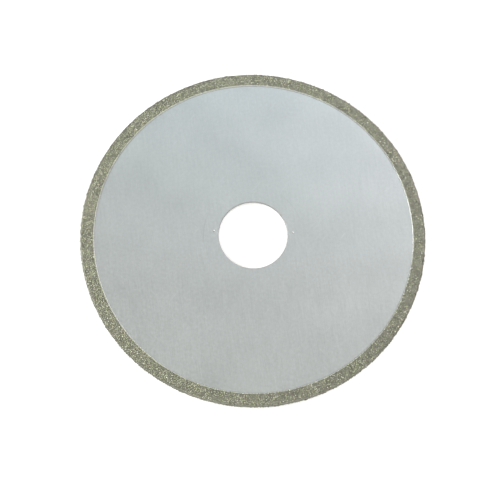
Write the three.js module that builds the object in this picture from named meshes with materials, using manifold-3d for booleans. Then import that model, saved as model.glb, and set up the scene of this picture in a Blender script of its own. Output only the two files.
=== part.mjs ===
// A thin diamond grinding wheel: a flat steel disc whose outer edge carries a nickel plated band of diamond
// grit, which wraps over both faces and round the rim. It runs on an arbor through the plain round bore and
// is clamped between two flanges. Millimetres, +Z up. The origin is on the bore's axis, in the plane that
// the wheel lies on, and the wheel spins about Z.

import * as THREE from "three";
import { mergeVertices } from "three/addons/utils/BufferGeometryUtils.js";
import Module from "manifold-3d";

// The whole wheel
const WHEEL_DIAMETER = 100; // over the grit on the rim
const BORE_DIAMETER = 20; // slides on a 20 mm arbor

// The steel core
const CORE_THICKNESS = 1.0;
const BORE_EDGE_BREAK = 0.15; // chamfer on both rims of the bore
const CLAMP_FACE_DIAMETER = 40; // the flanges press inside this circle, which has facets of its own
const RIM_EDGE_RADIUS = 0.2; // the rounding on the core's outer corners, which the plating follows

// The abrasive band
const BAND_WIDTH = 3.65; // from the outside of the wheel to the grit's inner edge
const NICKEL_THICKNESS = 0.25;
const GRAIN_STAND_OUT = 0.15; // how far the grains stand out of the nickel
const NICKEL_LIP_WIDTH = 0.35; // bare nickel between the grit's inner edge and the open steel

// The two centre punch marks on the front face, one on each side of the bore
const PUNCH_MARK_DIAMETER = 0.6;
const PUNCH_MARK_DEPTH = 0.2;
const PUNCH_MARK_SETBACK = 1.5; // from the bore's wall to the middle of a mark
const PUNCH_MARK_ANGLES = [Math.PI * 0.046, Math.PI * 0.992];

// How finely the round shapes are divided
const TURN_SEGMENTS = 120;
const CORNER_SEGMENTS = 2;
const MARK_SEGMENTS = 12;

// What follows from the sizes above
const COAT_THICKNESS = NICKEL_THICKNESS + GRAIN_STAND_OUT;
const CORE_RADIUS = WHEEL_DIAMETER / 2 - COAT_THICKNESS;
const CORE_BACK = COAT_THICKNESS; // the height of the core's underside
const CORE_FRONT = CORE_BACK + CORE_THICKNESS;
const GRIT_INNER_RADIUS = WHEEL_DIAMETER / 2 - BAND_WIDTH;
const NICKEL_INNER_RADIUS = GRIT_INNER_RADIUS - NICKEL_LIP_WIDTH;
const BORE_RADIUS = BORE_DIAMETER / 2;
const CLAMP_FACE_RADIUS = CLAMP_FACE_DIAMETER / 2;

// A corner of the rim: an arc about a point inside the core, from one direction to another.
function cornerArc(height, radius, fromAngle, toAngle) {
  const points = [];
  for (let step = 0; step <= CORNER_SEGMENTS; step += 1) {
    const angle = THREE.MathUtils.lerp(fromAngle, toAngle, step / CORNER_SEGMENTS);
    const distance = CORE_RADIUS - RIM_EDGE_RADIUS + radius * Math.cos(angle);
    points.push(new THREE.Vector2(distance, height + radius * Math.sin(angle)));
  }
  return points;
}

// The way round the rim from the back face to the front face, a given height above the core's own surface.
function rimOutline(coatHeight) {
  const radius = RIM_EDGE_RADIUS + coatHeight;
  const backCorner = cornerArc(CORE_BACK + RIM_EDGE_RADIUS, radius, -Math.PI / 2, 0);
  const frontCorner = cornerArc(CORE_FRONT - RIM_EDGE_RADIUS, radius, 0, Math.PI / 2);
  return [...backCorner, ...frontCorner];
}

// Turns a closed profile of (radius, height) points about the wheel's axis. The profile runs
// counter-clockwise, so the faces point outwards.
function turnedRing(profile) {
  const geometry = new THREE.LatheGeometry([...profile, profile[0]], TURN_SEGMENTS);
  return geometry.rotateX(Math.PI / 2);
}

// A layer of the band: it covers the core's edge from one height above its surface to another, and reaches
// in over both faces as far as the inner radius.
function coatRing(innerRadius, bottomHeight, topHeight) {
  const top = [
    new THREE.Vector2(innerRadius, CORE_BACK - topHeight),
    ...rimOutline(topHeight),
    new THREE.Vector2(innerRadius, CORE_FRONT + topHeight),
  ];
  const bottom = [
    new THREE.Vector2(innerRadius, CORE_BACK - bottomHeight),
    ...rimOutline(bottomHeight),
    new THREE.Vector2(innerRadius, CORE_FRONT + bottomHeight),
  ];
  return turnedRing([...top, ...bottom.reverse()]);
}

// The disc before it is marked, with both edges of the bore broken.
function plainCore() {
  return turnedRing([
    new THREE.Vector2(BORE_RADIUS + BORE_EDGE_BREAK, CORE_BACK),
    new THREE.Vector2(CLAMP_FACE_RADIUS, CORE_BACK),
    ...rimOutline(0),
    new THREE.Vector2(CLAMP_FACE_RADIUS, CORE_FRONT),
    new THREE.Vector2(BORE_RADIUS + BORE_EDGE_BREAK, CORE_FRONT),
    new THREE.Vector2(BORE_RADIUS, CORE_FRONT - BORE_EDGE_BREAK),
    new THREE.Vector2(BORE_RADIUS, CORE_BACK + BORE_EDGE_BREAK),
  ]);
}

// The point of the punch, standing over the front face at a given angle round the bore. It goes on past the
// face at the same slope, so that the face cuts it to the mark's own diameter.
function punchPoint(angle) {
  const depthAndRise = PUNCH_MARK_DEPTH * 2;
  const cone = new THREE.ConeGeometry(PUNCH_MARK_DIAMETER, depthAndRise, MARK_SEGMENTS);
  const distance = BORE_RADIUS + PUNCH_MARK_SETBACK;
  cone.rotateX(-Math.PI / 2);
  return cone.translate(distance * Math.cos(angle), distance * Math.sin(angle), CORE_FRONT);
}

const wasm = await Module();
wasm.setup();

// A closed geometry as a solid that can be cut.
function toSolid(geometry) {
  const bare = geometry.clone();
  bare.deleteAttribute("normal");
  bare.deleteAttribute("uv");
  const merged = mergeVertices(bare);
  const vertProperties = merged.attributes.position.array;
  const triVerts = new Uint32Array(merged.index.array);
  return new wasm.Manifold(new wasm.Mesh({ numProp: 3, vertProperties, triVerts }));
}

// A solid as a geometry that can be drawn.
function toGeometry(solid) {
  const mesh = solid.getMesh();
  const geometry = new THREE.BufferGeometry();
  geometry.setAttribute("position", new THREE.BufferAttribute(mesh.vertProperties, 3));
  geometry.setIndex(new THREE.BufferAttribute(mesh.triVerts, 1));
  geometry.computeVertexNormals();
  return geometry;
}

// The steel disc with its two punch marks.
function steelCoreGeometry() {
  const marks = PUNCH_MARK_ANGLES.map((angle) => toSolid(punchPoint(angle)));
  const marked = marks.reduce((core, mark) => core.subtract(mark), toSolid(plainCore()));
  return toGeometry(marked);
}

// The electroplated nickel that holds the grains, with a bare lip inside the grit on both faces.
function nickelBondGeometry() {
  return coatRing(NICKEL_INNER_RADIUS, 0, NICKEL_THICKNESS);
}

// The layer of diamond grains, from the nickel's surface to the grains' tips.
function diamondGritGeometry() {
  return coatRing(GRIT_INNER_RADIUS, NICKEL_THICKNESS, COAT_THICKNESS);
}

const groundSteel = new THREE.MeshStandardMaterial({ color: 0xbfc4c4, roughness: 0.4, metalness: 1 });
const platedNickel = new THREE.MeshStandardMaterial({ color: 0xb5b29d, roughness: 0.35, metalness: 1 });
const diamondGrain = new THREE.MeshStandardMaterial({ color: 0x8f917e, roughness: 0.5, metalness: 0.2 });

// A named piece of the wheel.
function piece(name, geometry, material) {
  const mesh = new THREE.Mesh(geometry, material);
  mesh.name = name;
  return mesh;
}

const wheel = new THREE.Group();
wheel.add(piece("steel_core", steelCoreGeometry(), groundSteel));
wheel.add(piece("nickel_bond", nickelBondGeometry(), platedNickel));
wheel.add(piece("diamond_grit", diamondGritGeometry(), diamondGrain));

export default wheel;
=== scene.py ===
"""The looks of a thin diamond grinding wheel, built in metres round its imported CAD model.

The wheel is a flat ground steel disc, the core, with a plain round bore. Electroplated nickel wraps over the
core's edge and holds one layer of diamond grains, which covers a narrow band on both faces and the rim.
"""

import logging
import math
import random
from collections.abc import Callable, Iterable, Iterator
from dataclasses import dataclass, field
from enum import Enum
from itertools import chain

import bmesh
import bpy
from mathutils import Euler, Matrix, Vector, noise


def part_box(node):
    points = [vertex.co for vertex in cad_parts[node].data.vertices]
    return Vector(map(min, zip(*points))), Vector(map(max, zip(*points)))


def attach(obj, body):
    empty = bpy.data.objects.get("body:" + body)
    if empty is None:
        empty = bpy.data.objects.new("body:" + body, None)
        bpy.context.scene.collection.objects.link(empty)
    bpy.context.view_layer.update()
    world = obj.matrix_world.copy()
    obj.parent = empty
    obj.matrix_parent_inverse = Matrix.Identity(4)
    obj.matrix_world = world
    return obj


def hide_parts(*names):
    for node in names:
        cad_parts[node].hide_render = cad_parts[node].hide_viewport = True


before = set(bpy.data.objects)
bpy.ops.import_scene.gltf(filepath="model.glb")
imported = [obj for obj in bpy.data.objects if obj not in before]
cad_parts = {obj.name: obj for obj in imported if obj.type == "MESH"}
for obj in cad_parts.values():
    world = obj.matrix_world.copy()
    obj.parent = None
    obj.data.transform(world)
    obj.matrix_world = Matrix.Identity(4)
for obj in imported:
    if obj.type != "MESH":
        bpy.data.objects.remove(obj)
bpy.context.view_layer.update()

MM = 0.001
BODY = "root"
FULL_TURN = 2 * math.pi
QUARTER_TURN = math.pi / 2
GRAIN_TONE = "grain_tone"
GRAIN_WARMTH = "grain_warmth"

SAME_PLACE = 0.001 * MM  # corners nearer than this are one corner
SAME_ANGLE = 0.001  # angles nearer than this are one angle
NEARLY_LEVEL = 0.99  # a level face's normal has at least this much Z
NEARLY_UPRIGHT = 0.1  # an upright face's normal has less Z than this
NOISE_RANGE = (0.3, 0.7)  # nearly every value of a noise lies in it
BAND_SHIFT = Vector((0.2 * MM, 0.12 * MM, 0.0))  # how far the band's inner edge lies off the bore's axis

Socket = bpy.types.NodeSocket
Span = tuple[float, float]
Triple = tuple[float, float, float]
Ramp = tuple[tuple[float, Triple], ...]

log = logging.getLogger("wheel")


# ---------------------------------------------------------------- sizes


def inner_radius(node: str) -> float:
    """Finds how near to the axis a CAD solid comes.

    Args:
        node: The name of the CAD node.

    Returns:
        The radius of its bore, in metres.
    """
    return min(corner.co.xy.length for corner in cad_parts[node].data.vertices)


@dataclass(frozen=True)
class WheelSizes:
    """The sizes of the CAD solids, in metres, with heights counted from the plane the wheel lies on."""

    bore_radius: float
    core_radius: float
    core_back: float
    core_front: float
    nickel_height: float
    nickel_inner_radius: float
    grit_height: float
    grit_inner_radius: float

    @classmethod
    def from_frame(cls) -> "WheelSizes":
        """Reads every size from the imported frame.

        Returns:
            The sizes of this wheel.
        """
        core_low, core_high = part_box("steel_core")
        nickel_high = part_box("nickel_bond")[1]
        grit_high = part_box("diamond_grit")[1]
        return cls(
            bore_radius=inner_radius("steel_core"),
            core_radius=core_high.x,
            core_back=core_low.z,
            core_front=core_high.z,
            nickel_height=nickel_high.z - core_high.z,
            nickel_inner_radius=inner_radius("nickel_bond"),
            grit_height=grit_high.z - core_high.z,
            grit_inner_radius=inner_radius("diamond_grit"),
        )


@dataclass(frozen=True)
class SectionPoint:
    """A place on the band's section: its distance from the axis, its height, and the angle it faces.

    The facing angle is a quarter turn on the front face, nothing on the rim and minus a quarter on the back.
    """

    radius: float
    height: float
    facing: float

    def at(self, angle: float) -> Vector:
        """Gives the place in the wheel at an angle round the axis.

        Args:
            angle: The angle from +X, in radians.

        Returns:
            The point, in metres.
        """
        return Vector((self.radius * math.cos(angle), self.radius * math.sin(angle), self.height))

    def outward(self, angle: float) -> Vector:
        """Gives the direction that the surface faces at an angle round the axis.

        Args:
            angle: The angle from +X, in radians.

        Returns:
            A unit vector.
        """
        sideways = math.cos(self.facing)
        return Vector((sideways * math.cos(angle), sideways * math.sin(angle), math.sin(self.facing)))


@dataclass(frozen=True)
class BandSection:
    """The way along the band from its inner edge on the front face, round the rim, to the one on the back."""

    sizes: WheelSizes
    start_radius: float
    edge_radius: float = 0.2 * MM

    @property
    def face_length(self) -> float:
        """The length of the flat stretch on one face."""
        return self.sizes.core_radius - self.edge_radius - self.start_radius

    @property
    def rim_length(self) -> float:
        """The length of the straight stretch on the rim."""
        return self.sizes.core_front - self.sizes.core_back - 2 * self.edge_radius

    def corner_length(self, height: float) -> float:
        """Gives the length of one rounded corner.

        Args:
            height: How far above the core's surface it is measured.

        Returns:
            The arc's length, in metres.
        """
        return (self.edge_radius + height) * QUARTER_TURN

    def length(self, height: float) -> float:
        """Gives the length of the whole way.

        Args:
            height: How far above the core's surface it is measured.

        Returns:
            The length, in metres.
        """
        return 2 * self.face_length + 2 * self.corner_length(height) + self.rim_length

    def point(self, distance: float, height: float) -> SectionPoint:
        """Finds the place a given distance along the way.

        Args:
            distance: The distance from the inner edge on the front face, measured at that height.
            height: How far above the core's surface the place is.

        Returns:
            The place and the way that it faces.
        """
        half = self.length(height) / 2
        from_middle = half - distance
        side = 1 if from_middle >= 0 else -1
        rest = abs(from_middle)
        corner_radius = self.sizes.core_radius - self.edge_radius
        rim_middle = (self.sizes.core_front + self.sizes.core_back) / 2
        half_rim = self.rim_length / 2
        reach = self.edge_radius + height
        if rest <= half_rim:
            return SectionPoint(corner_radius + reach, rim_middle + side * rest, 0.0)
        rest -= half_rim
        turn = min(rest / reach, QUARTER_TURN)
        rest = max(rest - self.corner_length(height), 0.0)
        return SectionPoint(
            corner_radius - rest + reach * math.cos(turn),
            rim_middle + side * (half_rim + reach * math.sin(turn)),
            side * turn,
        )


# ---------------------------------------------------------------- finishes


class ShaderTree:
    """A material, and short ways to add the textures that the finishes use. Feature sizes are in metres."""

    def __init__(self, name: str) -> None:
        """Starts a material with one Principled shader and the piece's own coordinates.

        Args:
            name: The material's name.
        """
        self.material = bpy.data.materials.new(name)
        self.material.use_nodes = True
        self.nodes = self.material.node_tree.nodes
        self.links = self.material.node_tree.links
        self.shader = self.nodes["Principled BSDF"]
        self.coordinates = self.nodes.new("ShaderNodeTexCoord").outputs["Object"]

    def feed(self, name: str, value: Socket) -> None:
        """Links a value to a socket of the shader."""
        self.links.new(value, self.shader.inputs[name])

    def fix(self, **values: float | tuple[float, ...]) -> None:
        """Sets constant values on the shader's own sockets.

        Args:
            **values: The socket's name, with underscores for spaces, and its value.
        """
        for name, value in values.items():
            self.shader.inputs[name.replace("_", " ")].default_value = value

    def placed(self, sizes: Triple, turn: float = 0.0, shift: float = 0.0) -> Socket:
        """Turns the coordinates about Z and divides them by a feature's sizes.

        Args:
            sizes: The feature's size along each turned axis, in metres.
            turn: The angle that the pattern is turned by, in radians.
            shift: How far the pattern is moved, in features, so that two noises differ.

        Returns:
            The coordinates to give to a texture of scale 1.
        """
        turned = self.nodes.new("ShaderNodeMapping")
        turned.inputs["Rotation"].default_value = (0.0, 0.0, turn)
        scaled = self.nodes.new("ShaderNodeMapping")
        scaled.inputs["Scale"].default_value = tuple(1 / size for size in sizes)
        scaled.inputs["Location"].default_value = (shift, shift, shift)
        self.links.new(self.coordinates, turned.inputs["Vector"])
        self.links.new(turned.outputs["Vector"], scaled.inputs["Vector"])
        return scaled.outputs["Vector"]

    def noise(self, place: Socket, detail: float = 2.0, rough: float = 0.5) -> Socket:
        """Adds a noise.

        Args:
            place: The coordinates, where one unit is one feature.
            detail: How many finer layers it has.
            rough: How strong the finer layers are.

        Returns:
            The noise, from 0 to 1 with its middle at 0.5.
        """
        texture = self.nodes.new("ShaderNodeTexNoise")
        texture.inputs["Scale"].default_value = 1.0
        texture.inputs["Detail"].default_value = detail
        texture.inputs["Roughness"].default_value = rough
        self.links.new(place, texture.inputs["Vector"])
        return texture.outputs["Fac"]

    def remap(
        self, value: Socket, given: tuple[float, float], wanted: tuple[float, float]
    ) -> Socket:
        """Stretches one range of a value to another, and holds it at the ends.

        Args:
            value: The value.
            given: The range that is stretched.
            wanted: What the two ends become.

        Returns:
            The stretched value.
        """
        node = self.nodes.new("ShaderNodeMapRange")
        for name, number in zip(("From Min", "From Max", "To Min", "To Max"), (*given, *wanted), strict=True):
            node.inputs[name].default_value = number
        self.links.new(value, node.inputs["Value"])
        return node.outputs["Result"]

    def maths(
        self, operation: str, first: Socket, second: Socket | float
    ) -> Socket:
        """Works out a sum, a product or another function of two values.

        Args:
            operation: The operation's name, such as ADD.
            first: The first value.
            second: The second value, or a number.

        Returns:
            The result.
        """
        node = self.nodes.new("ShaderNodeMath")
        node.operation = operation
        self.links.new(first, node.inputs[0])
        if isinstance(second, Socket):
            self.links.new(second, node.inputs[1])
        else:
            node.inputs[1].default_value = second
        return node.outputs["Value"]

    def colours(
        self, value: Socket, stops: Ramp
    ) -> Socket:
        """Turns a value into a colour.

        Args:
            value: The value.
            stops: Pairs of a place from 0 to 1 and the linear colour there, in rising order.

        Returns:
            The colour.
        """
        ramp = self.nodes.new("ShaderNodeValToRGB")
        elements = ramp.color_ramp.elements
        while len(elements) < len(stops):
            elements.new(1.0)
        for element, (place, colour) in zip(elements, stops, strict=True):
            element.position = place
            element.color = (*colour, 1.0)
        self.links.new(value, ramp.inputs["Fac"])
        return ramp.outputs["Color"]

    def tint(
        self, colour: Socket, other: Socket, share: Socket
    ) -> Socket:
        """Blends one colour into another.

        Args:
            colour: The colour where the share is 0.
            other: The colour where the share is 1.
            share: The share of the other colour.

        Returns:
            The blended colour.
        """
        node = self.nodes.new("ShaderNodeMix")
        node.data_type = "RGBA"
        self.links.new(share, node.inputs["Factor"])
        self.links.new(colour, node.inputs["A"])
        self.links.new(other, node.inputs["B"])
        return node.outputs["Result"]

    def from_axis(self) -> Socket:
        """Gives the distance from the wheel's axis.

        Returns:
            The distance, in metres.
        """
        flat = self.nodes.new("ShaderNodeVectorMath")
        flat.operation = "MULTIPLY"
        flat.inputs[1].default_value = (1.0, 1.0, 0.0)
        length = self.nodes.new("ShaderNodeVectorMath")
        length.operation = "LENGTH"
        self.links.new(self.coordinates, flat.inputs[0])
        self.links.new(flat.outputs["Vector"], length.inputs[0])
        return length.outputs["Value"]

    def average(self, first: Socket, second: Socket) -> Socket:
        """Gives the mean of two values."""
        return self.maths("MULTIPLY", self.maths("ADD", first, second), 0.5)

    def shade(self, value: Socket, dark: Triple, light: Triple) -> Socket:
        """Turns a noise into a tone between two colours."""
        low, high = NOISE_RANGE
        return self.colours(value, ((low, dark), (high, light)))

    def attribute(self, name: str) -> Socket:
        """Reads a number that the mesh carries on its corners.

        Args:
            name: The attribute's name.

        Returns:
            The number.
        """
        node = self.nodes.new("ShaderNodeAttribute")
        node.attribute_name = name
        return node.outputs["Fac"]

    def bump(
        self, height: Socket, depth: float, under: Socket | None = None
    ) -> Socket:
        """Adds a relief too fine for the mesh.

        Args:
            height: The relief, from 0 to 1.
            depth: The height of a full step, in metres.
            under: The relief that this one lies on, if there is one.

        Returns:
            The normal to give to the shader or to a finer relief.
        """
        node = self.nodes.new("ShaderNodeBump")
        node.inputs["Distance"].default_value = depth
        self.links.new(height, node.inputs["Height"])
        if under is not None:
            self.links.new(under, node.inputs["Normal"])
        return node.outputs["Normal"]


@dataclass(frozen=True)
class GroundSteel:
    """Satin steel with grinding streaks, soft mottling, scratches and the faint ring that a flange wore."""

    dark: Triple = (0.365, 0.388, 0.388)
    light: Triple = (0.436, 0.461, 0.461)
    roughness: Span = (0.30, 0.42)
    streak: Triple = (0.14 * MM, 7.0 * MM, 7.0 * MM)
    streak_turn: float = math.radians(-12)
    streak_depth: float = 0.004 * MM
    mottle_size: float = 0.8 * MM
    mottle_shift: float = 3.1
    mottle_depth: float = 0.010 * MM
    cloud_size: float = 14.0 * MM
    cloud_shift: float = 7.7
    cloud_range: Span = (0.2, 0.8)
    cloud_tones: Span = (-0.12, 0.12)
    scratch: Triple = (0.20 * MM, 5.0 * MM, 5.0 * MM)
    scratch_shift: float = 11.3
    scratch_range: Span = (0.80, 0.86)
    scratch_tone: float = 0.25
    scratch_turns: tuple[float, ...] = (math.radians(35), math.radians(78), math.radians(-50))
    flange_radius: float = 14.4 * MM
    flange_line: float = 0.18 * MM
    flange_size: float = 16.0 * MM
    flange_shift: float = 1.25
    flange_range: Span = (0.48, 0.60)
    flange_tone: float = 0.5

    def scratches(self, tree: ShaderTree) -> Socket:
        """Adds sparse thin scratches in a few directions.

        Args:
            tree: The material's tree.

        Returns:
            1 in a scratch and 0 elsewhere.
        """
        total = None
        for number, turn in enumerate(self.scratch_turns):
            place = tree.placed(self.scratch, turn, shift=self.scratch_shift * (number + 1))
            line = tree.remap(tree.noise(place, detail=0.0), self.scratch_range, (0.0, 1.0))
            total = line if total is None else tree.maths("MAXIMUM", total, line)
        return total

    def flange_ring(self, tree: ShaderTree) -> Socket:
        """Adds the dull line where a clamping flange's edge has rubbed, on one side more than on the other.

        Args:
            tree: The material's tree.

        Returns:
            1 on the line and 0 elsewhere.
        """
        off = tree.maths("ABSOLUTE", tree.maths("SUBTRACT", tree.from_axis(), self.flange_radius), 0.0)
        line = tree.remap(off, (0.0, self.flange_line), (1.0, 0.0))
        worn = tree.noise(tree.placed((self.flange_size,) * 3, shift=self.flange_shift), detail=2.0)
        return tree.maths("MULTIPLY", line, tree.remap(worn, self.flange_range, (0.0, 1.0)))

    def material(self) -> bpy.types.Material:
        """Builds the finish.

        Returns:
            The material.
        """
        tree = ShaderTree("ground_steel")
        streaks = tree.noise(tree.placed(self.streak, self.streak_turn), detail=3.0, rough=0.6)
        mottle_place = tree.placed((self.mottle_size,) * 3, shift=self.mottle_shift)
        mottle = tree.noise(mottle_place, detail=3.0, rough=0.7)
        clouds = tree.noise(tree.placed((self.cloud_size,) * 3, shift=self.cloud_shift), detail=1.0)
        scratches = self.scratches(tree)
        fine = tree.average(streaks, mottle)
        tone = tree.maths("ADD", fine, tree.remap(clouds, self.cloud_range, self.cloud_tones))
        tone = tree.maths("ADD", tone, tree.maths("MULTIPLY", scratches, self.scratch_tone))
        ring = tree.maths("MULTIPLY", self.flange_ring(tree), self.flange_tone)
        tone = tree.maths("SUBTRACT", tone, ring)
        tree.feed("Base Color", tree.shade(tone, self.dark, self.light))
        tree.feed("Roughness", tree.remap(fine, NOISE_RANGE, self.roughness))
        relief = tree.bump(mottle, self.mottle_depth)
        relief = tree.bump(streaks, self.streak_depth, relief)
        tree.feed("Normal", tree.bump(scratches, -self.streak_depth, relief))
        tree.fix(Metallic=1.0)
        return tree.material


@dataclass(frozen=True)
class CutSteel:
    """Steel as the cutter left it, with fine lines along the cut."""

    name: str
    dark: Triple
    light: Triple
    roughness: Span
    line: Triple = (0.6 * MM, 0.6 * MM, 0.05 * MM)
    line_depth: float = 0.006 * MM

    def material(self) -> bpy.types.Material:
        """Builds the finish.

        Returns:
            The material.
        """
        tree = ShaderTree(self.name)
        lines = tree.noise(tree.placed(self.line), detail=3.0, rough=0.6)
        tree.feed("Base Color", tree.shade(lines, self.dark, self.light))
        tree.feed("Roughness", tree.remap(lines, NOISE_RANGE, self.roughness))
        tree.feed("Normal", tree.bump(lines, self.line_depth))
        tree.fix(Metallic=1.0)
        return tree.material


@dataclass(frozen=True)
class PlatedNickel:
    """Electroplated nickel: lumpy and dulled between the grains, smooth and bright on the bare lip."""

    name: str
    dark: Triple
    light: Triple
    roughness: Span
    lump_size: float = 0.22 * MM
    lump_depth: float = 0.03 * MM
    stain_size: float = 1.98 * MM
    stain_shift: float = 5.0
    tone_range: Span = (0.35, 0.65)

    def material(self) -> bpy.types.Material:
        """Builds the finish.

        Returns:
            The material.
        """
        tree = ShaderTree(self.name)
        lumps = tree.noise(tree.placed((self.lump_size,) * 3), detail=3.0, rough=0.6)
        stain = tree.noise(tree.placed((self.stain_size,) * 3, shift=self.stain_shift), detail=2.0)
        low, high = self.tone_range
        tone = tree.average(lumps, stain)
        tree.feed("Base Color", tree.colours(tone, ((low, self.dark), (high, self.light))))
        tree.feed("Roughness", tree.remap(lumps, NOISE_RANGE, self.roughness))
        tree.feed("Normal", tree.bump(lumps, self.lump_depth))
        tree.fix(Metallic=1.0)
        return tree.material


@dataclass(frozen=True)
class DiamondGrain:
    """Olive, straw and brown diamond: glossy facets, and a tone and a warmth of its own for each grain."""

    name: str
    # Painted shade: every colour of the grains is multiplied by this, so below 1 the grains are painted
    # darker as if in shade.
    painted_shade_factor: float = 1.0
    olive: Ramp = (
        (0.0, (0.062, 0.074, 0.040)),
        (0.3, (0.178, 0.205, 0.114)),
        (0.6, (0.256, 0.290, 0.166)),
        (0.85, (0.326, 0.362, 0.228)),
        (1.0, (0.450, 0.472, 0.355)),
    )
    brown: Ramp = (
        (0.0, (0.088, 0.071, 0.052)),
        (0.3, (0.234, 0.196, 0.144)),
        (0.6, (0.324, 0.278, 0.206)),
        (0.85, (0.396, 0.348, 0.270)),
        (1.0, (0.510, 0.465, 0.380)),
    )
    roughness: Span = (0.14, 0.34)
    refraction: float = 1.9
    flaw_size: float = 0.12 * MM
    flaw_depth: float = 0.004 * MM
    flaw_tones: Span = (-0.07, 0.07)
    patch_size: float = 9.0 * MM
    patch_shift: float = 2.0
    patch_range: Span = (0.35, 0.65)
    patch_shares: Span = (0.3, 1.0)

    def with_painted_shade(self, stops: Ramp) -> Ramp:
        """Darkens the colours of a ramp by the painted shade factor, which paints shade on the grains.

        Args:
            stops: The ramp's places and colours before the painted shade.

        Returns:
            The same places with darker colours.
        """
        return tuple((place, tuple(part * self.painted_shade_factor for part in colour)) for place, colour in stops)

    def material(self) -> bpy.types.Material:
        """Builds the finish.

        Returns:
            The material.
        """
        tree = ShaderTree(self.name)
        tone = tree.attribute(GRAIN_TONE)
        flaws = tree.noise(tree.placed((self.flaw_size,) * 3), detail=2.0, rough=0.6)
        cloudy = tree.maths("ADD", tone, tree.remap(flaws, NOISE_RANGE, self.flaw_tones))
        patches = tree.noise(tree.placed((self.patch_size,) * 3, shift=self.patch_shift), detail=2.0)
        browned = tree.remap(patches, self.patch_range, self.patch_shares)
        share = tree.maths("MULTIPLY", browned, tree.attribute(GRAIN_WARMTH))
        # Both ramps are darkened by the painted shade factor.
        olive, brown = (tree.colours(cloudy, self.with_painted_shade(stops)) for stops in (self.olive, self.brown))
        tree.feed("Base Color", tree.tint(olive, brown, share))
        tree.feed("Roughness", tree.remap(flaws, NOISE_RANGE, self.roughness))
        tree.feed("Normal", tree.bump(flaws, self.flaw_depth))
        tree.fix(IOR=self.refraction)
        return tree.material


# ---------------------------------------------------------------- making pieces


def finish_piece(
    mesh: bpy.types.Mesh, materials: tuple[bpy.types.Material, ...], nodes: tuple[str, ...]
) -> bpy.types.Object:
    """Makes a mesh a piece of the wheel, in place of CAD nodes.

    Args:
        mesh: The finished mesh, whose name becomes the piece's.
        materials: The materials in the order of the mesh's material numbers.
        nodes: The CAD nodes that the piece stands for.

    Returns:
        The piece.
    """
    for material in materials:
        mesh.materials.append(material)
    piece = bpy.data.objects.new(mesh.name, mesh)
    bpy.context.scene.collection.objects.link(piece)
    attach(piece, BODY)
    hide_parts(*nodes)
    log.info("%s: %d faces", piece.name, len(mesh.polygons))
    return piece


def spun_ring(outline: list[tuple[float, float]], steps: int) -> bmesh.types.BMesh:
    """Turns a closed outline about the wheel's axis.

    Args:
        outline: The section's points, each a radius and a height.
        steps: How many steps the full turn has.

    Returns:
        A closed ring with its faces pointing outwards.
    """
    ring = bmesh.new()
    corners = [ring.verts.new((radius, 0.0, height)) for radius, height in outline]
    sides = [ring.edges.new((corner, corners[number - 1])) for number, corner in enumerate(corners)]
    bmesh.ops.spin(
        ring,
        geom=corners + sides,
        cent=(0, 0, 0),
        axis=(0, 0, 1),
        angle=FULL_TURN,
        steps=steps,
        use_merge=True,
        use_duplicate=False,
    )
    bmesh.ops.remove_doubles(ring, verts=ring.verts, dist=SAME_PLACE)
    bmesh.ops.recalc_face_normals(ring, faces=ring.faces)
    for face in ring.faces:
        face.smooth = True
    return ring


def to_mesh(source: bmesh.types.BMesh, name: str) -> bpy.types.Mesh:
    """Turns a bmesh into a mesh and frees it.

    Args:
        source: The bmesh.
        name: The mesh's name.

    Returns:
        The mesh.
    """
    mesh = bpy.data.meshes.new(name)
    source.to_mesh(mesh)
    source.free()
    return mesh


class CoreSurface(Enum):
    """The surfaces of the steel core, by their material numbers."""

    GROUND = 0
    BORE = 1
    BORE_EDGE = 2
    MARK = 3


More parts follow.
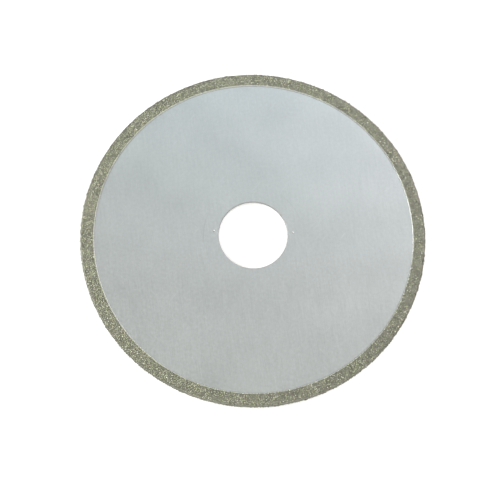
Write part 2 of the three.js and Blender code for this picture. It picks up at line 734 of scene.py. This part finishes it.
@dataclass
class SteelCore:
    """The flat steel disc, with its bore and the two punch marks on its front face."""

    sizes: WheelSizes
    turn_steps: int = 360
    edge_break: float = 0.15 * MM
    break_segments: int = 3
    bore_tolerance: float = 0.01 * MM
    mark_zone: float = 3.0 * MM
    mark_setback: float = 1.5 * MM
    mark_radius: float = 0.3 * MM
    mark_tip: float = 0.03 * MM
    mark_depth: float = 0.2 * MM
    mark_clearing: float = 0.55 * MM
    mark_segments: int = 16
    mark_angles: Span = (math.pi * 0.046, math.pi * 0.992)
    bore_finish: CutSteel = CutSteel("cut_bore", (0.18, 0.18, 0.18), (0.27, 0.27, 0.27), (0.4, 0.6))
    edge_finish: CutSteel = CutSteel("broken_edge", (0.24, 0.25, 0.25), (0.32, 0.33, 0.33), (0.35, 0.5))
    mark_finish: CutSteel = CutSteel("punched_steel", (0.29, 0.30, 0.29), (0.39, 0.40, 0.39), (0.30, 0.40))

    def outline(self) -> list[tuple[float, float]]:
        """Gives the disc's section, with a corner on each face where the zone of the marks ends.

        Returns:
            The section's points, each a radius and a height.
        """
        sizes = self.sizes
        zone_end = sizes.bore_radius + self.mark_zone
        back = [(radius, sizes.core_back) for radius in (sizes.bore_radius, zone_end, sizes.core_radius)]
        front = [(radius, sizes.core_front) for radius in (sizes.core_radius, zone_end, sizes.bore_radius)]
        return back + front

    def break_bore_edges(self, disc: bmesh.types.BMesh) -> None:
        """Rounds both rims of the bore.

        Args:
            disc: The disc.
        """
        rims = [
            edge
            for edge in level_edges(disc.verts)
            if all(abs(end.co.xy.length - self.sizes.bore_radius) < self.bore_tolerance for end in edge.verts)
        ]
        bmesh.ops.bevel(
            disc,
            geom=rims,
            offset=self.edge_break,
            offset_type="OFFSET",
            segments=self.break_segments,
            profile=0.5,
            affect="EDGES",
            material=-1,
        )

    def punch(self, disc: bmesh.types.BMesh, angle: float) -> None:
        """Sinks one conical punch mark into the front face.

        Args:
            disc: The disc.
            angle: Where the mark lies round the bore, in radians.
        """
        distance = self.sizes.bore_radius + self.mark_setback
        centre = Vector((distance * math.cos(angle), distance * math.sin(angle), self.sizes.core_front))
        near = {
            face
            for face in disc.faces
            if face.normal.z > NEARLY_LEVEL
            and (face.calc_center_median() - centre).length < self.mark_clearing
        }
        edges = {edge for face in near for edge in face.edges}
        rim = [edge for edge in edges if len(near.intersection(edge.link_faces)) == 1]
        bmesh.ops.delete(disc, geom=list(near), context="FACES")
        cone = bmesh.ops.create_cone(
            disc,
            cap_ends=False,
            segments=self.mark_segments,
            radius1=self.mark_tip,
            radius2=self.mark_radius,
            depth=self.mark_depth,
            matrix=Matrix.Translation(centre - Vector((0, 0, self.mark_depth / 2))),
        )["verts"]
        for face in {face for corner in cone for face in corner.link_faces}:
            face.material_index = CoreSurface.MARK.value
        tip = [corner for corner in cone if corner.co.z < centre.z - self.mark_depth / 2]
        mouth = level_edges([corner for corner in cone if corner not in tip])
        bmesh.ops.pointmerge(disc, verts=tip, merge_co=centre - Vector((0, 0, self.mark_depth)))
        bmesh.ops.triangle_fill(
            disc,
            edges=rim + mouth,
            use_beauty=True,
            use_dissolve=False,
            normal=(0, 0, 1),
        )

    def build(self) -> bpy.types.Object:
        """Makes the disc and dresses it in ground steel, with a duller bore and bright punch marks.

        Returns:
            The piece.
        """
        disc = spun_ring(self.outline(), self.turn_steps)
        self.break_bore_edges(disc)
        for face in disc.faces:
            if face.calc_center_median().xy.length < self.sizes.bore_radius + self.edge_break:
                upright = abs(face.normal.z) < NEARLY_UPRIGHT
                face.material_index = (CoreSurface.BORE if upright else CoreSurface.BORE_EDGE).value
        for angle in self.mark_angles:
            self.punch(disc, angle)
        bmesh.ops.recalc_face_normals(disc, faces=disc.faces)
        for face in disc.faces:
            is_mark = face.material_index == CoreSurface.MARK.value
            face.smooth = abs(face.normal.z) < NEARLY_LEVEL and not is_mark
        finishes = (GroundSteel(), self.bore_finish, self.edge_finish, self.mark_finish)
        materials = tuple(finish.material() for finish in finishes)
        return finish_piece(to_mesh(disc, "core_disc"), materials, ("steel_core",))


def level_edges(corners: Iterable[bmesh.types.BMVert]) -> list[bmesh.types.BMEdge]:
    """Finds the level edges between some corners.

    Args:
        corners: The corners.

    Returns:
        The edges that have both ends at one height among those corners.
    """
    known = set(corners)
    found = {edge for corner in known for edge in corner.link_edges}
    return [
        edge
        for edge in found
        if known.issuperset(edge.verts) and abs(edge.verts[0].co.z - edge.verts[1].co.z) < SAME_PLACE
    ]


class NickelSurface(Enum):
    """The surfaces of the nickel ring, by their material numbers."""

    LIP = 0
    BOND = 1


@dataclass
class NickelBond:
    """The plated ring round the core's edge: lumpy where it holds grains, with a smooth bare lip inside."""

    sizes: WheelSizes
    turn_steps: int = 1080
    pitch: float = 0.2 * MM
    lip_round: float = 0.16 * MM
    lip_segments: int = 4
    lump_size: float = 0.32 * MM
    lump_height: float = 0.035 * MM
    corner_cut: float = 0.1 * MM
    shift_end: float = 48.5 * MM
    lip_blend: float = 0.25 * MM
    lip_limit: float = 0.12 * MM
    lip: PlatedNickel = PlatedNickel("bare_nickel", (0.36, 0.37, 0.355), (0.45, 0.46, 0.44), (0.20, 0.32))
    bond: PlatedNickel = PlatedNickel("nickel_bond", (0.12, 0.12, 0.098), (0.20, 0.20, 0.165), (0.35, 0.55))

    def lip_outline(self, section: BandSection) -> list[SectionPoint]:
        """Gives the rounded inner edge on the front face, from the steel up to the ring's full height.

        Args:
            section: The way along the band outside that edge.

        Returns:
            The edge's points, from the inside out.
        """
        sizes = self.sizes
        turns = [QUARTER_TURN * step / self.lip_segments for step in range(self.lip_segments)]
        return [
            SectionPoint(
                section.start_radius - self.lip_round * math.cos(turn),
                sizes.core_front + sizes.nickel_height * math.sin(turn),
                QUARTER_TURN,
            )
            for turn in turns
        ]

    def outline(self) -> list[tuple[float, float]]:
        """Gives the ring's closed section: over the band, and back along the steel.

        Returns:
            The section's points, each a radius and a height.
        """
        sizes = self.sizes
        section = BandSection(sizes, sizes.nickel_inner_radius + self.lip_round)
        height = sizes.nickel_height
        count = round(section.length(height) / self.pitch)
        top = [section.point(section.length(height) * step / count, height) for step in range(count + 1)]
        lip = self.lip_outline(section)
        middle = sizes.core_front + sizes.core_back
        outer = [(p.radius, p.height) for p in lip + top]
        outer += [(p.radius, middle - p.height) for p in reversed(lip)]
        flat = section.face_length
        under = [section.point(section.length(0.0) - way, 0.0) for way in (flat, flat + self.corner_cut)]
        inner = [(p.radius, p.height) for p in under]
        inner += [(radius, middle - level) for radius, level in reversed(inner)]
        return outer + inner

    def swell(self, ring: bmesh.types.BMesh) -> None:
        """Raises lumps on the outside of the ring, and sets its inner edge a little off centre.

        The lumps die out towards the lip.

        Args:
            ring: The ring.
        """
        inside = self.sizes.nickel_inner_radius + self.lip_round
        for corner in ring.verts:
            radius = corner.co.xy.length
            share = min(max((radius - inside) / self.lip_blend, 0.0), 1.0)
            lump = noise.noise(corner.co / self.lump_size) * self.lump_height
            corner.co += corner.normal * (lump * share)
            moved = min(max((self.shift_end - radius) / (self.shift_end - inside), 0.0), 1.0)
            corner.co += BAND_SHIFT * moved

    def build(self) -> bpy.types.Object:
        """Makes the ring and dresses it in two finishes of nickel.

        Returns:
            The piece.
        """
        ring = spun_ring(self.outline(), self.turn_steps)
        ring.normal_update()
        self.swell(ring)
        lip_end = self.sizes.nickel_inner_radius + self.lip_round + self.lip_limit
        for face in ring.faces:
            is_lip = (face.calc_center_median() - BAND_SHIFT).xy.length < lip_end
            face.material_index = (NickelSurface.LIP if is_lip else NickelSurface.BOND).value
        materials = (self.lip.material(), self.bond.material())
        return finish_piece(to_mesh(ring, "nickel_ring"), materials, ("nickel_bond",))


class GrainHabit(Enum):
    """The crystal shapes that the grit is a mixture of."""

    CUBO_OCTAHEDRON = "cubo_octahedron"
    BLOCK = "block"
    FRAGMENT = "fragment"


@dataclass
class CrystalMoulds:
    """Makes the few crystal shapes, each about 1 in radius, that the grains are turned and scaled copies of.

    The block, its chips and the fragment are each made uneven by chance, between the two ends of a span.
    """

    draw: random.Random
    copies: int = 4
    weights: Triple = (5, 3, 2)
    merge_gap: float = 0.02
    block_side: float = 1.3
    block_swell: Span = (0.85, 1.1)
    block_chips: int = 3
    chip_way: Span = (0.6, 1.0)
    chip_reach: Span = (0.72, 0.9)
    fragment_swell: Span = (0.78, 1.12)
    fragment_form: Triple = (1.05, 0.9, 0.72)
    moulds: dict[GrainHabit, list[bpy.types.Mesh]] = field(default_factory=dict)

    def cubo_octahedron(self) -> bmesh.types.BMesh:
        """Cuts all eight corners of a cube back to the middles of its edges.

        Returns:
            The crystal.
        """
        crystal = bmesh.new()
        bmesh.ops.create_cube(crystal, size=math.sqrt(2))
        bmesh.ops.bevel(
            crystal,
            geom=crystal.verts[:] + crystal.edges[:],
            offset=50.0,
            offset_type="PERCENT",
            segments=1,
            profile=0.5,
            affect="VERTICES",
            material=-1,
        )
        bmesh.ops.remove_doubles(crystal, verts=crystal.verts, dist=self.merge_gap)
        return crystal

    def block(self) -> bmesh.types.BMesh:
        """Chips a few corners off an uneven box.

        Returns:
            The crystal.
        """
        crystal = bmesh.new()
        bmesh.ops.create_cube(crystal, size=self.block_side)
        for corner in crystal.verts:
            corner.co *= self.draw.uniform(*self.block_swell)
        for _ in range(self.block_chips):
            sides = [self.draw.choice((-1.0, 1.0)) * self.draw.uniform(*self.chip_way) for _ in range(3)]
            way = Vector(sides).normalized()
            cut = bmesh.ops.bisect_plane(
                crystal,
                geom=crystal.verts[:] + crystal.edges[:] + crystal.faces[:],
                plane_co=way * self.draw.uniform(*self.chip_reach),
                plane_no=way,
                clear_outer=True,
            )
            rim = [part for part in cut["geom_cut"] if isinstance(part, bmesh.types.BMEdge)]
            bmesh.ops.holes_fill(crystal, edges=rim)
        return crystal

    def fragment(self) -> bmesh.types.BMesh:
        """Makes a crushed, flattish splinter with uneven facets.

        Returns:
            The crystal.
        """
        crystal = bmesh.new()
        bmesh.ops.create_icosphere(crystal, subdivisions=1, radius=1.0)
        for corner in crystal.verts:
            corner.co *= self.draw.uniform(*self.fragment_swell)
        bmesh.ops.scale(crystal, vec=self.fragment_form, verts=crystal.verts)
        return crystal

    def cast(self) -> None:
        """Makes every mould."""
        makers: dict[GrainHabit, Callable[[], bmesh.types.BMesh]] = {
            GrainHabit.CUBO_OCTAHEDRON: self.cubo_octahedron,
            GrainHabit.BLOCK: self.block,
            GrainHabit.FRAGMENT: self.fragment,
        }
        for habit, make in makers.items():
            self.moulds[habit] = [self.mould(make(), habit) for _ in range(self.copies)]

    def mould(self, crystal: bmesh.types.BMesh, habit: GrainHabit) -> bpy.types.Mesh:
        """Turns a crystal's faces outwards and keeps it as a mesh."""
        bmesh.ops.recalc_face_normals(crystal, faces=crystal.faces)
        return to_mesh(crystal, f"mould_{habit.value}")

    def pick(self) -> bpy.types.Mesh:
        """Picks a shape: half the grains are well formed, and the others are chipped or crushed."""
        habit = self.draw.choices(list(GrainHabit), weights=self.weights)[0]
        return self.draw.choice(self.moulds[habit])

    def clear(self) -> None:
        """Removes the moulds when the grains are made."""
        for meshes in self.moulds.values():
            for mesh in meshes:
                bpy.data.meshes.remove(mesh)


@dataclass(frozen=True)
class Grain:
    """One grain: its middle, its radius and turn, and how light and how brown it is, each from 0 to 1. Its
    lightness is partly random and partly painted light, higher towards -X.
    """

    middle: Vector
    radius: float
    turned: Euler
    tone: float
    warmth: float


class BandSide(Enum):
    """The three stretches of the band, each with a piece of its own."""

    FRONT = "grit_front"
    RIM = "grit_rim"
    BACK = "grit_back"


@dataclass
class DiamondGrit:
    """The single layer of diamond grains on both faces and on the rim."""

    sizes: WheelSizes
    seed: int = 40
    gap: float = 0.35 * MM
    radii: Span = (0.15 * MM, 0.26 * MM)
    middle_height: float = 0.19 * MM
    height_spread: float = 0.045 * MM
    wave_size: float = 1.3 * MM
    wave_height: float = 0.16 * MM
    tries_per_area: float = 60.0 / MM**2
    tone: Span = (0.45, 0.25)
    bright_share: float = 0.04
    brightest_usual: float = 0.85
    # Painted light: grains towards -X are painted lighter and those towards +X darker, as if the left side
    # were lit more.
    painted_light_lean: Vector = field(default_factory=lambda: Vector((-0.26, 0.02, 0.0)))
    warmth: Span = (0.6, 1.3)
    lively_size: float = 2.4 * MM
    lively_swing: float = 1.6
    lively_range: Span = (0.35, 1.5)
    edge_inset: float = -0.02 * MM
    edge_jitter: float = 0.06 * MM
    edge_steps: Span = (1.02, 1.25)
    bald_size: float = 1.1 * MM
    bald_limit: float = -0.56
    batch: int = 60
    finishes: dict[BandSide, DiamondGrain] = field(
        default_factory=lambda: {
            BandSide.FRONT: DiamondGrain("diamond_front"),
            # The rim's grains carry painted shade: their colours are multiplied by 0.4, so the rim is painted
            # darker as if less lit.
            BandSide.RIM: DiamondGrain("diamond_rim", painted_shade_factor=0.4),
            BandSide.BACK: DiamondGrain("diamond_back"),
        }
    )

    def sprinkle(self) -> dict[BandSide, list[Grain]]:
        """Scatters grains over the whole band so that no two are closer than the gap.

        Returns:
            The grains of each side.
        """
        draw = random.Random(self.seed)
        taken: dict[tuple[int, int, int], Vector] = {}
        grains: dict[BandSide, list[Grain]] = {side: [] for side in BandSide}
        for place, angle, middle in chain(self.edge_rows(draw), self.scatter(draw)):
            if self.is_free(middle, taken) and self.holds_grit(middle):
                taken[self.cell(middle)] = middle
                grains[self.side_of(place)].append(self.grain(draw, middle, place.outward(angle)))
        return grains

    def edge_rows(self, draw: random.Random) -> Iterator[tuple[SectionPoint, float, Vector]]:
        """Tries places in a nearly even row along the band's inner edge, on the front and then on the back.

        Args:
            draw: The source of chance.

        Yields:
            The place on the band's section, the angle round the axis and the place on the wheel.
        """
        section = BandSection(self.sizes, self.sizes.grit_inner_radius)
        length = section.length(self.middle_height)
        for is_front in (True, False):
            angle = 0.0
            while angle < FULL_TURN:
                inset = self.edge_inset + draw.uniform(0.0, self.edge_jitter)
                place = section.point(inset if is_front else length - inset, self.middle_height)
                yield place, angle, place.at(angle) + BAND_SHIFT
                angle += self.gap * draw.uniform(*self.edge_steps) / place.radius

    def scatter(self, draw: random.Random) -> Iterator[tuple[SectionPoint, float, Vector]]:
        """Tries places at random all over the band.

        Args:
            draw: The source of chance.

        Yields:
            The place on the band's section, the angle round the axis and the place on the wheel.
        """
        section = BandSection(self.sizes, self.sizes.grit_inner_radius - BAND_SHIFT.length)
        length = section.length(self.middle_height)
        for _ in range(round(length * FULL_TURN * self.sizes.core_radius * self.tries_per_area)):
            place = section.point(draw.uniform(0.0, length), self.middle_height)
            angle = draw.uniform(0.0, FULL_TURN)
            yield place, angle, place.at(angle)

    def cell(self, place: Vector) -> tuple[int, int, int]:
        """Gives the small cube of space that a place is in. It's too small to hold two grains."""
        width = self.gap / math.sqrt(3)
        return (math.floor(place.x / width), math.floor(place.y / width), math.floor(place.z / width))

    def is_free(self, place: Vector, taken: dict[tuple[int, int, int], Vector]) -> bool:
        """Tells whether a place is clear of every grain so far.

        Args:
            place: The place for a new grain.
            taken: The middles of the grains, by their cells.

        Returns:
            True if no grain is within the gap.
        """
        x, y, z = self.cell(place)
        if (x, y, z) in taken:
            return False
        steps = (-2, -1, 0, 1, 2)
        for i in steps:
            for j in steps:
                for k in steps:
                    other = taken.get((x + i, y + j, z + k))
                    if other is not None and (other - place).length_squared < self.gap**2:
                        return False
        return True

    def holds_grit(self, middle: Vector) -> bool:
        """Keeps the lip clear and a few small spots bald.

        Args:
            middle: The place on the wheel.

        Returns:
            True if a grain can lie there.
        """
        inside = self.sizes.grit_inner_radius + self.edge_inset
        is_bald = noise.noise(middle / self.bald_size) <= self.bald_limit
        return (middle - BAND_SHIFT).xy.length > inside and not is_bald

    def side_of(self, place: SectionPoint) -> BandSide:
        """Tells which side of the band a place is on.

        Args:
            place: The place on the band's section.

        Returns:
            The front or the back for a flat stretch, and the rim for what lies between them.
        """
        if abs(place.facing) < QUARTER_TURN - SAME_ANGLE:
            return BandSide.RIM
        return BandSide.FRONT if place.facing > 0 else BandSide.BACK

    def grain(self, draw: random.Random, middle: Vector, outward: Vector) -> Grain:
        """Makes up one grain.

        Args:
            draw: The source of chance.
            middle: Its middle, before it is set higher or lower.
            outward: The way that the surface faces.

        Returns:
            The grain.
        """
        turned = Euler([draw.uniform(0.0, FULL_TURN) for _ in range(3)])
        usual, spread = self.tone
        calmest, liveliest = self.lively_range
        swing = self.lively_swing * noise.noise(middle / self.lively_size)
        lively = min(max(1.0 + swing, calmest), liveliest)
        # The painted light lean lightens grains towards -X and darkens those towards +X.
        tone = draw.gauss(usual, spread * lively) + middle.dot(self.painted_light_lean) / self.sizes.core_radius
        tone = min(tone, self.brightest_usual)
        if draw.random() < self.bright_share * lively:
            tone = draw.uniform(self.brightest_usual, 1.0)
        height = draw.gauss(0.0, self.height_spread) + self.wave(middle) * outward.xy.length
        return Grain(
            middle=middle + outward * height,
            radius=draw.uniform(*self.radii),
            turned=turned,
            tone=max(tone, 0.0),
            warmth=draw.betavariate(*self.warmth),
        )

    def wave(self, middle: Vector) -> float:
        """Gives the height of the slow waves that leave the rim a little out of round."""
        return noise.noise(middle / self.wave_size) * self.wave_height

    def batches(self, grains: list[Grain]) -> Iterator[list[Grain]]:
        """Splits the grains into short lists, because an operator takes longer in a larger mesh."""
        for start in range(0, len(grains), self.batch):
            yield grains[start : start + self.batch]

    def batch_mesh(self, grains: list[Grain], moulds: CrystalMoulds) -> bpy.types.Mesh:
        """Makes the crystals of a short list of grains.

        Args:
            grains: The grains.
            moulds: The crystal shapes.

        Returns:
            A mesh that holds them, with each grain's tone and warmth on its corners.
        """
        part = bmesh.new()
        tone = part.verts.layers.float.new(GRAIN_TONE)
        warmth = part.verts.layers.float.new(GRAIN_WARMTH)
        for grain in grains:
            known = len(part.verts)
            part.from_mesh(moulds.pick())
            part.verts.ensure_lookup_table()
            corners = part.verts[known:]
            place = Matrix.LocRotScale(grain.middle, grain.turned, Vector((grain.radius,) * 3))
            bmesh.ops.transform(part, matrix=place, verts=corners)
            for corner in corners:
                corner[tone] = grain.tone
                corner[warmth] = grain.warmth
        return to_mesh(part, "grain_batch")

    def side_piece(
        self, side: BandSide, grains: list[Grain], moulds: CrystalMoulds, material: bpy.types.Material
    ) -> bpy.types.Object:
        """Joins the batches of one side into a piece.

        Args:
            side: The side.
            grains: Its grains.
            moulds: The crystal shapes.
            material: The finish.

        Returns:
            The piece.
        """
        whole = bmesh.new()
        for name in (GRAIN_TONE, GRAIN_WARMTH):
            whole.verts.layers.float.new(name)
        for few in self.batches(grains):
            part = self.batch_mesh(few, moulds)
            whole.from_mesh(part)
            bpy.data.meshes.remove(part)
        log.info("%s: %d grains", side.value, len(grains))
        return finish_piece(to_mesh(whole, side.value), (material,), ("diamond_grit",))

    def build(self) -> list[bpy.types.Object]:
        """Makes the grains of all three sides.

        Returns:
            The pieces.
        """
        moulds = CrystalMoulds(random.Random(self.seed + 1))
        moulds.cast()
        pieces = [
            self.side_piece(side, grains, moulds, self.finishes[side].material())
            for side, grains in self.sprinkle().items()
        ]
        moulds.clear()
        return pieces


# ---------------------------------------------------------------- studio


@dataclass(frozen=True)
class SoftLight:
    """A soft box that shines at the wheel, with its azimuth counted from +X towards +Y."""

    name: str
    azimuth: float
    elevation: float
    radiance: float
    colour: Triple = (1.0, 1.0, 1.0)
    distance: float = 0.8
    width: float = 0.45

    def place(self) -> bpy.types.Object:
        """Hangs the light.

        Returns:
            The light.
        """
        lamp = bpy.data.lights.new(self.name, "AREA")
        lamp.size = self.width
        lamp.color = self.colour
        lamp.energy = self.radiance * math.pi * self.width**2
        light = bpy.data.objects.new(self.name, lamp)
        level = math.cos(self.elevation)
        rise = math.sin(self.elevation)
        way = Vector((level * math.cos(self.azimuth), level * math.sin(self.azimuth), rise))
        light.location = way * self.distance
        light.rotation_euler = way.to_track_quat("Z", "Y").to_euler()
        bpy.context.scene.collection.objects.link(light)
        return light


@dataclass(frozen=True)
class Viewpoint:
    """Where the camera stands: nearly overhead, a little in front of the wheel, and slightly rolled."""

    elevation: float = math.radians(74.8)
    distance: float = 361.0 * MM
    aside: float = -0.58 * MM
    above: float = -4.08 * MM
    roll: float = math.radians(4.46)
    lens: float = 89.55
    sensor: float = 36.0
    nearest: float = 0.01

    def place(self) -> None:
        """Sets up the scene's camera."""
        data = bpy.data.cameras.new("camera")
        data.lens = self.lens
        data.sensor_width = self.sensor
        data.clip_start = self.nearest
        camera = bpy.data.objects.new("camera", data)
        right = Vector((1, 0, 0))
        up = Vector((0, math.sin(self.elevation), math.cos(self.elevation)))
        back = Vector((0, -math.cos(self.elevation), math.sin(self.elevation)))
        axes = Matrix((right, up, back)).transposed().to_4x4()
        stand = Matrix.Translation(back * self.distance + right * self.aside + up * self.above)
        camera.matrix_world = stand @ axes @ Matrix.Rotation(self.roll, 4, "Z")
        bpy.context.scene.collection.objects.link(camera)
        bpy.context.scene.camera = camera


@dataclass
class Studio:
    """A plain pale floor, an even white surround and a few soft lights."""

    floor_width: float = 4.0
    floor_drop: float = 0.16 * MM  # as far as the lowest grain stands out under the wheel
    floor_colour: tuple[float, float, float, float] = (0.93, 0.93, 0.93, 1.0)
    floor_roughness: float = 0.9
    surround: float = 0.92
    surround_colour: tuple[float, float, float, float] = (1.0, 0.975, 0.915, 1.0)
    lights: tuple[SoftLight, ...] = (
        SoftLight("back_right", math.radians(45), math.radians(45), 3.28, (1.0, 0.93, 0.99)),
        SoftLight("back", math.radians(90), math.radians(55), 0.73, (0.55, 0.80, 1.0)),
        SoftLight("front_right", math.radians(315), math.radians(45), 2.0),
        SoftLight("front", math.radians(270), math.radians(45), 2.5),
        SoftLight("front_left", math.radians(225), math.radians(45), 2.0),
        SoftLight("low_left", math.radians(175), math.radians(22), 8.0),
    )

    def floor(self) -> None:
        """Lays the floor that the wheel lies on."""
        sheet = bmesh.new()
        bmesh.ops.create_grid(sheet, x_segments=1, y_segments=1, size=self.floor_width / 2)
        mesh = to_mesh(sheet, "floor")
        paint = bpy.data.materials.new("pale_floor")
        paint.use_nodes = True
        shader = paint.node_tree.nodes["Principled BSDF"]
        shader.inputs["Base Color"].default_value = self.floor_colour
        shader.inputs["Roughness"].default_value = self.floor_roughness
        shader.inputs["Specular IOR Level"].default_value = 0.0
        mesh.materials.append(paint)
        floor = bpy.data.objects.new("floor", mesh)
        floor.location.z = -self.floor_drop
        bpy.context.scene.collection.objects.link(floor)

    def sky(self) -> None:
        """Surrounds the wheel with even light."""
        world = bpy.data.worlds.new("studio")
        world.use_nodes = True
        background = world.node_tree.nodes["Background"]
        background.inputs["Color"].default_value = self.surround_colour
        background.inputs["Strength"].default_value = self.surround
        bpy.context.scene.world = world

    def build(self) -> None:
        """Sets up the floor, the surround, the lights and plain colour management."""
        self.floor()
        self.sky()
        for light in self.lights:
            light.place()
        bpy.context.scene.view_settings.view_transform = "Standard"


def main() -> None:
    """Builds the wheel from its core outwards, then the studio."""
    logging.basicConfig(level=logging.INFO, format="%(name)s: %(message)s")
    sizes = WheelSizes.from_frame()
    SteelCore(sizes).build()
    NickelBond(sizes).build()
    DiamondGrit(sizes).build()
    Studio().build()
    Viewpoint().place()


if __name__ == "__main__":
    main()
